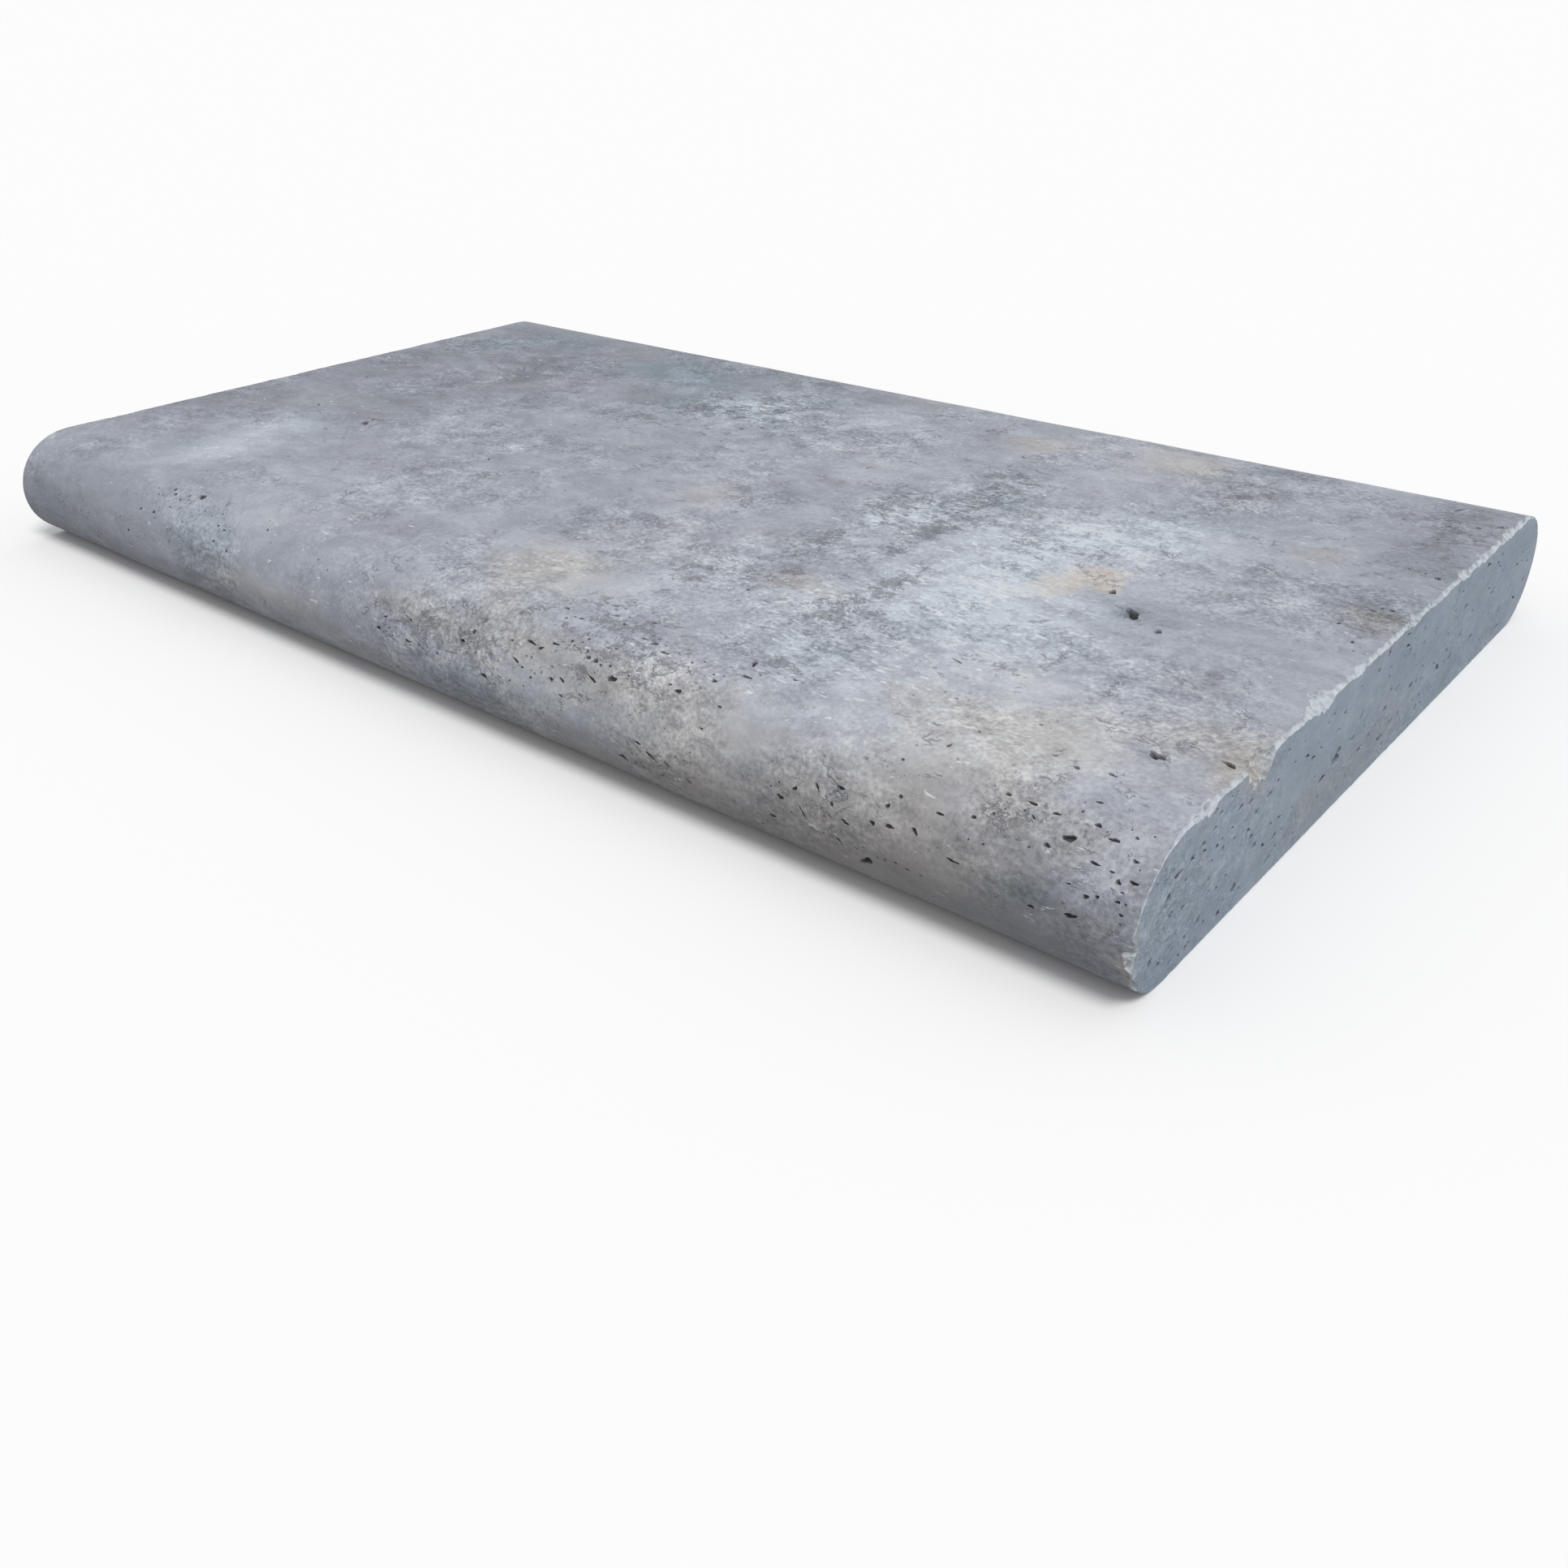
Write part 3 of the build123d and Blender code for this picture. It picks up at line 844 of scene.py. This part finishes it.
DRIFT_SPAN, DRIFT_PUSH = 26, 12  # mm
where = add(body, "ShaderNodeTexCoord").outputs["Object"]
mm = add(body, "ShaderNodeVectorMath", {0: where, "Scale": MM}, operation="SCALE")
push = add(body, "ShaderNodeTexNoise", {"Vector": mm, "Scale": 1 / DRIFT_SPAN, "Detail": 2,
                                        "Roughness": 0.6}).outputs["Color"]
drift = add(body, "ShaderNodeVectorMath", (push, [DRIFT_PUSH] * 3, mm),
            operation="MULTIPLY_ADD")
beds = add(body, "ShaderNodeMapping", {"Vector": drift, "Rotation": (0.1, 0.25, 0.5),
                                       "Scale": (0.75, 1.0, 1.8)})
reeds = add(body, "ShaderNodeMapping", {"Vector": drift, "Rotation": (0, 0, 0.30),
                                        "Scale": (0.42, 1.5, 1.5)})
print(f"beds wander by up to {DRIFT_PUSH} mm")

# %% [markdown]
# Each noise stands for something that can be seen in the stone, and its period is that
# thing's size. Clouds of clay are a hand wide and veils between beds are a finger wide. Reed
# casts mottle the stone every centimetre. Calcite grains are near 0.3 mm in the real one.
# Here they are drawn at 1.7 mm, about the finest that a render of the whole slab can show.

# %% Silver travertine: its noises
noises = {}
# Each is: its name, what it is laid along, its largest lumps in mm, detail, roughness and
# how much it swirls.
for name, at, period, detail, rough, swirl in (
        ("clouds", beds, 70, 3, 0.62, 0.0), ("veils", beds, 24, 3, 0.7, 0.6),
        ("mottle", beds, 9.0, 4, 0.66, 0.3), ("grain", mm, 1.7, 1.5, 0.7, 0.0),
        ("running water", drift, 58, 2, 0.5, 0.0), ("tints", beds, 40, 3, 0.6, 0.0),
        ("lace", drift, 12, 5, 0.8, 0.2), ("strokes", reeds, 2.6, 2, 0.6, 0.0),
        ("threads", beds, 6.4, 5, 0.80, 0.3), ("cracks", beds, 11, 4, 0.7, 0.2),
        ("crackle", drift, 15, 2, 0.6, 0.0)):
    noises[name] = add(body, "ShaderNodeTexNoise", {
        "Vector": at, "Scale": 1 / period, "Detail": detail, "Roughness": rough,
        "Distortion": swirl})
tints = add(body, "ShaderNodeSeparateColor", {"Color": noises["tints"].outputs["Color"]})
mottle, grain = noises["mottle"], noises["grain"]
print(f"{len(noises)} noises")

# %% [markdown]
# Tone is how light the stone is at a place, from 0 to 1. It starts from a middle value, the
# painter's light marks raise or lower it, and four noises unsettle it. A bed is smooth where
# the water was still and coarse where it ran. So the two finest noises count for more where
# it ran, and where the painter put threads and flecks, which go with coarser stone.

# %% Silver travertine: how coarse and how light
MIDDLE_TONE = 0.53
SMOOTHEST = 0.2
running = add(body, "ShaderNodeMapRange", {"Value": noises["running water"],
              "From Min": 0.42, "From Max": 0.60}, interpolation_type="SMOOTHSTEP")
marked = add(body, "ShaderNodeMath", (painter["veins"], painter["flecks"]), operation="ADD")
coarse = add(body, "ShaderNodeMath", (running, 0.54, 0.26), operation="MULTIPLY_ADD")
coarse = add(body, "ShaderNodeMath", (marked, 0.30, coarse), operation="MULTIPLY_ADD")
coarse = add(body, "ShaderNodeMath", (coarse, SMOOTHEST), operation="MAXIMUM")

tone = add(body, "ShaderNodeMath", (painter["light"], MIDDLE_TONE), operation="ADD")
for lumps, share, strength in ((noises["clouds"], 1.0, 0.52), (noises["veils"], 1.0, 0.58),
                               (mottle, coarse, 1.45), (grain, coarse, 1.25)):
    off_middle = add(body, "ShaderNodeMath", (lumps, 0.5), operation="SUBTRACT")
    patchy = add(body, "ShaderNodeMath", (off_middle, share), operation="MULTIPLY")
    tone = add(body, "ShaderNodeMath", (patchy, strength, tone), operation="MULTIPLY_ADD")
print(f"middle tone {MIDDLE_TONE}")

# %% [markdown]
# What the painter asks for shouldn't look painted. So each thing that can be seen is a noise
# with the painter's mark added to it, cut off by a soft step. A strong mark brings the thing
# out wherever the noise is at all high, and without one only the noise's peaks show. Iron in
# the water leaves an ochre stain, calcite blooms as white lace, reeds leave short white
# strokes along the bed, and clay leaves dark threads. Some patches are cracked.

# %% Silver travertine: what shows where
crackle = add(body, "ShaderNodeMath", (running, 0.06, noises["crackle"]),
              operation="MULTIPLY_ADD")
shares = {}
# Each is: its name, its noise and how far that is turned up, the painter's mark and how
# hard that pulls, and where the step begins and ends.
for name, lumps, gain, mark, pull, begins, ends_at in (
        ("cool", tints.outputs["Red"], 1.6, "blue", 1.0, 0.7, 1.9),
        ("warm", tints.outputs["Green"], 1.6, "warm", 1.0, 0.8, 2.1),
        ("stain", mottle, 0.9, "rust", 1.0, 0.67, 1.17),
        ("lace", noises["lace"], 1.0, "flecks", 0.07, 0.52, 0.68),
        ("strokes", noises["strokes"], 1.0, "flecks", 0.10, 0.68, 0.76),
        ("threads", noises["threads"], 1.0, "veins", 0.12, 0.615, 0.695),
        ("cracked", crackle, 1.0, "veins", 0.13, 0.60, 0.70)):
    pulled = add(body, "ShaderNodeMath", (painter[mark], pull), operation="MULTIPLY")
    height = add(body, "ShaderNodeMath", (lumps, gain, pulled), operation="MULTIPLY_ADD")
    shares[name] = add(body, "ShaderNodeMapRange", {
        "Value": height, "From Min": begins, "From Max": ends_at},
        interpolation_type="SMOOTHSTEP")
lace = add(body, "ShaderNodeMath", (shares["lace"], painter["flecks"]), operation="MULTIPLY")
print(f"{len(shares)} kinds of mark in the stone")

# %% [markdown]
# A fissure is a thin line that wanders and branches. A noise has such lines in it: the
# places where it takes one exact value, as a map's contour lines do. The distance from the
# value makes the line, and only the cracked patches keep it. The next contour up is the
# pale lip of calcite that grew along one side. Pinholes are dots at the middles of the cells
# of a Voronoi pattern, and larger where the painter put threads. Each is a dip in the relief
# and a dark dot of painted shade, as the mesh has no hole there.

# %% Silver travertine: fissures and pinholes
lines = {}
# Each is: its name, the noise's value on it, and how near to that it is whole and then gone.
for name, level, narrow, wide in (("fissure", 0.5, 0.008, 0.03), ("lip", 0.53, 0.006, 0.026)):
    off_level = add(body, "ShaderNodeMath", (noises["cracks"], level), operation="SUBTRACT")
    off_level = add(body, "ShaderNodeMath", (off_level,), operation="ABSOLUTE")
    line = add(body, "ShaderNodeMapRange", {"Value": off_level, "From Min": narrow,
               "From Max": wide, "To Min": 1.0, "To Max": 0.0}, interpolation_type="SMOOTHSTEP")
    lines[name] = add(body, "ShaderNodeMath", (shares["cracked"], line), operation="MULTIPLY")

PINHOLE_SPACING = 3.4  # mm
cells = add(body, "ShaderNodeTexVoronoi", {"Vector": beds, "Scale": 1 / PINHOLE_SPACING})
hole_size = add(body, "ShaderNodeMath", (painter["veins"], 0.10, 0.05),
                operation="MULTIPLY_ADD")
pinholes = add(body, "ShaderNodeMath", (cells.outputs["Distance"], hole_size),
               operation="LESS_THAN")
print(f"a pinhole every {PINHOLE_SPACING} mm")

# %% [markdown]
# Silver travertine is sold as grey, yet no patch of it is a plain grey. Most beds lean to
# lavender, some to a slate blue and some to beige. Each has its own ramp from dark to light,
# and the tone picks the place on it. The stain, the lace and the rest then go on in layers,
# pale ones first, so that the dark lines stay crisp on top.

# %% Silver travertine: its colours
ramps = []
for hexes in (("#696D76", "#828690", "#9B9FAA", "#B5BAC4", "#CFD3D9"),  # lavender
              ("#616D77", "#7C8791", "#97A1AC", "#B1BAC5", "#CCD4DB"),  # slate
              ("#6F6E6D", "#898786", "#A3A09F", "#BDBBB9", "#D9D6D3")):  # beige
    stops = [(i / 4, paint) for i, paint in enumerate(hexes)]
    ramps.append(add(body, "ShaderNodeValToRGB", {"Fac": tone}, stops))
lavender, slate, beige = ramps
ochre = add(body, "ShaderNodeValToRGB", {"Fac": mottle},
            [(0.3, "#BC9C78"), (0.5, "#CDB99F"), (0.7, "#D9CBB9")])

colour = lavender
for share, strength, paint in (
        (shares["cool"], 1.0, slate), (shares["warm"], 1.0, beige), (shares["stain"], 0.40, ochre),
        (lace, 0.62, linear("#C8D2DC")), (shares["strokes"], 0.75, linear("#DEE3E7")),
        (lines["lip"], 0.30, linear("#D6DCE2")), (shares["threads"], 0.54, linear("#6C6C72")),
        # The pinholes' dark grey is painted shade.
        (lines["fissure"], 0.52, linear("#5C6068")), (pinholes, 0.62, linear("#605F63"))):
    covers = add(body, "ShaderNodeMath", (share, strength), operation="MULTIPLY",
                 use_clamp=True)
    # Sockets 6 and 7 are where this node takes colours.
    colour = add(body, "ShaderNodeMix", {0: covers, 6: colour, 7: paint}, data_type="RGBA")

# How much painted shade a place inside a pore gets, from 0 at the rim
inside = add(body, "ShaderNodeMapRange", {"Value": painter["pore"], "From Max": 0.60,
             "To Max": 0.86}, interpolation_type="SMOOTHSTEP")

relief = add(body, "ShaderNodeMath", (mottle, coarse), operation="MULTIPLY")
grooves = add(body, "ShaderNodeMath", (shares["threads"], lines["fissure"]),
              operation="MAXIMUM")
for lumps, height in ((grain, 0.35), (grooves, -0.5), (pinholes, -0.7)):
    relief = add(body, "ShaderNodeMath", (lumps, height, relief), operation="MULTIPLY_ADD")
add(body, "NodeGroupOutput", {"Colour": colour, "Inside": inside, "Relief": relief})
print(f"{body.name}: {len(body.nodes)} nodes")

# %% [markdown]
# The factory gives the same stone four surfaces, and each takes light in its own way. All of
# them are matt, because travertine is soft and never polished here. A pore is unbrushed, and
# in it every finish turns to the same dark grey: painted shade for the light it keeps out.

# %% One way to finish the stone
TRAVERTINE_IOR = 1.5  # calcite, with a little air in it


def empty_tree(owner):
    """Give a material or a world nodes of its own, with none in them yet."""
    owner.use_nodes = True
    owner.node_tree.nodes.clear()
    return owner.node_tree


def new_finish(name):
    """Start a finish as a material of the slab, and return its tree and the stone's body."""
    material = bpy.data.materials.new(name)
    slab.data.materials.append(material)
    tree = empty_tree(material)
    return tree, add(tree, "ShaderNodeGroup", node_tree=body)


def dress(tree, stone, colour, roughness, height, depth_mm):
    """Complete a finish with its colour, its roughness and a relief this many mm deep."""
    # Painted shade: inside a pore the colour goes to a dark grey.
    colour = add(tree, "ShaderNodeMix", {0: stone.outputs["Inside"], 6: colour,
                 7: linear("#3B3936")}, data_type="RGBA")
    bump = add(tree, "ShaderNodeBump", {"Height": height, "Distance": depth_mm * METRES})
    surface = add(tree, "ShaderNodeBsdfPrincipled", {
        "Base Color": colour, "Roughness": roughness, "Normal": bump, "Metallic": 0.0,
        "IOR": TRAVERTINE_IOR})
    add(tree, "ShaderNodeOutputMaterial", {"Surface": surface})


print(f"IOR {TRAVERTINE_IOR}")

# %% [markdown]
# A wire brush rounds the skin off: matt, with a faint sheen on the smooth beds. The saw
# leaves the ends flatter, and their colour is mixed a third of the way to a pale blue. The
# underside is sawn more coarsely, and its colour goes nearly half way to a plain grey. Its
# blade wanders and leaves broad, shallow waves, so a wave texture draws them. The broken arris
# is fresh calcite. Its tiny facets scatter light, so it looks white, except where iron got
# in. Real facets are under a millimetre, and here they are drawn at 2.2 mm so that they show.

# %% Four finishes
tree, stone = new_finish("brushed travertine")
dull = add(tree, "ShaderNodeMapRange", {"Value": stone.outputs["Relief"], "From Min": 0.2,
           "From Max": 0.7, "To Min": 0.68, "To Max": 0.88})
dress(tree, stone, stone.outputs["Colour"], dull, stone.outputs["Relief"], 0.5)

SAW_HEIGHT = 0.12  # of a saw's wave, beside the stone's own relief
WAVES_IN_ONE = 20 / (2 * math.pi)  # what a wave texture draws in one unit at scale 1
# Each is: its name, its tint and how much of it shows, mm between waves, depth of relief.
for name, saw_tint, saw_tint_share, spacing, depth_mm in (
        ("saw-cut bed", "#A3A3A6", 0.45, 31.416, 0.5),
        ("saw-cut end", "#A5BED4", 0.34, 13.823, 0.15)):
    tree, stone = new_finish(name)
    where = add(tree, "ShaderNodeTexCoord").outputs["Object"]
    saw_waves = add(tree, "ShaderNodeTexWave", {
        "Vector": where, "Scale": MM / spacing / WAVES_IN_ONE, "Distortion": 3.0, "Detail": 2.0,
        "Detail Scale": 0.3}, bands_direction="Z").outputs["Fac"]
    height = add(tree, "ShaderNodeMath", (saw_waves, SAW_HEIGHT, stone.outputs["Relief"]),
                 operation="MULTIPLY_ADD")
    saw_tinted = add(tree, "ShaderNodeMix", {0: saw_tint_share, 6: stone.outputs["Colour"],
                7: linear(saw_tint)}, data_type="RGBA")
    dull = add(tree, "ShaderNodeMapRange", {"Value": stone.outputs["Relief"], "To Min": 0.7,
               "To Max": 0.9})
    dress(tree, stone, saw_tinted, dull, height, depth_mm)

FACET_SIZE = 2.2  # mm
tree, stone = new_finish("broken travertine")
where = add(tree, "ShaderNodeTexCoord").outputs["Object"]
facets = add(tree, "ShaderNodeTexVoronoi", {"Vector": where, "Scale": MM / FACET_SIZE})
facets = facets.outputs["Distance"]
frost = add(tree, "ShaderNodeMapRange", {"Value": facets, "From Max": 0.7, "To Min": 0.10,
            "To Max": 0.95})
iron = add(tree, "ShaderNodeAttribute", attribute_name="rust").outputs["Fac"]
clean = add(tree, "ShaderNodeMapRange", {"Value": iron, "To Min": 1.0, "To Max": 0.3})
frost = add(tree, "ShaderNodeMath", (frost, clean), operation="MULTIPLY")
frosted = add(tree, "ShaderNodeMix", {0: frost, 6: stone.outputs["Colour"],
              7: linear("#CDD4DA")}, data_type="RGBA")
dull = add(tree, "ShaderNodeMapRange", {"Value": facets, "To Min": 0.65, "To Max": 0.95})
dress(tree, stone, frosted, dull, facets, 0.9)
print(f"{len(slab.data.materials)} finishes")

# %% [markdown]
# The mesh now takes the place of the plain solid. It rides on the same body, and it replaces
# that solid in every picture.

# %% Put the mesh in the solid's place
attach(slab, "root")
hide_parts("coping_slab")

# %% [markdown]
# The camera stands where the photographer did: in front of the right-hand corner, looking
# down at 30 degrees, close enough that the near corner looms. Its place, heading and
# slight roll were found by fitting the slab's straight edges to the photograph.

# %% Camera
PHOTO_PLACE = (431.1, -466.7, 249.2)
PHOTO_TURN, PHOTO_TILT, PHOTO_ROLL = 40.175, 60.134, -0.89  # 90 would look level
PHOTO_LENS = 33.02  # for a sensor 36 mm wide, seen square

camera = put("camera", bpy.data.cameras.new("camera"))
camera.data.lens, camera.data.sensor_width = PHOTO_LENS, 36.0
camera.data.clip_start, camera.data.clip_end = 0.01, 200.0
camera.matrix_world = (Matrix.Translation(Vector(PHOTO_PLACE) * METRES)
                       @ Matrix.Rotation(math.radians(PHOTO_TURN), 4, "Z")
                       @ Matrix.Rotation(math.radians(PHOTO_TILT), 4, "X")
                       @ Matrix.Rotation(math.radians(PHOTO_ROLL), 4, "Z"))
bpy.context.scene.camera = camera
print(f"camera {camera.location.length:.3f} m from the middle of the slab")

# %% [markdown]
# The light is an open sky with a soft, high sun to the right, so the end is brighter than
# the front nose. Together they give a level face about as much light as a colour needs to
# look as written. To the camera the floor and sky are white. To the stone the floor is a
# mid grey, as the paving round a pool would be, so the lower nose stays in shade.

# %% Floor and light
SKY = 0.56
SUN = 0.47
SUN_SPREAD = 24  # degrees: wide, as through thin cloud
FAR = 40  # metres to the floor's edge

floor_mesh = bpy.data.meshes.new("floor")
floor_mesh.from_pydata([(-FAR, -FAR, 0), (FAR, -FAR, 0), (FAR, FAR, 0), (-FAR, FAR, 0)], [],
                       [(0, 1, 2, 3)])
floor = put("floor", floor_mesh)


def seen_directly(tree):
    """Add a share that is 1 for what the camera, a mirror or glass would see."""
    path = add(tree, "ShaderNodeLightPath").outputs
    both = add(tree, "ShaderNodeMath", (path["Is Camera Ray"], path["Is Glossy Ray"]),
               operation="ADD")
    return add(tree, "ShaderNodeMath", (both, path["Is Transmission Ray"]),
               operation="ADD", use_clamp=True)


paving = bpy.data.materials.new("pale floor")
floor_mesh.materials.append(paving)
tree = empty_tree(paving)
seen_as = add(tree, "ShaderNodeMix", {0: seen_directly(tree), 6: linear("#858585"),
              7: linear("#FFFFFF")}, data_type="RGBA")
matt = add(tree, "ShaderNodeBsdfDiffuse", {"Color": seen_as})
add(tree, "ShaderNodeOutputMaterial", {"Surface": matt})

world = bpy.data.worlds.new("open sky")
bpy.context.scene.world = world
tree = empty_tree(world)
level = add(tree, "ShaderNodeMapRange", {"Value": seen_directly(tree), "To Min": SKY,
            "To Max": 1.0})
sky = add(tree, "ShaderNodeBackground", {"Color": linear("#FFFFFF"), "Strength": level})
add(tree, "ShaderNodeOutputWorld", {"Surface": sky})

sun = put("sun", bpy.data.lights.new("sun", "SUN"))
sun.data.energy = SUN * math.pi
sun.data.angle = math.radians(SUN_SPREAD)
sun.rotation_euler = Vector((0.46, -0.24, 1)).to_track_quat("Z", "Y").to_euler()

bpy.context.scene.view_settings.view_transform = "Standard"
print(f"sky {SKY}, sun {SUN}")
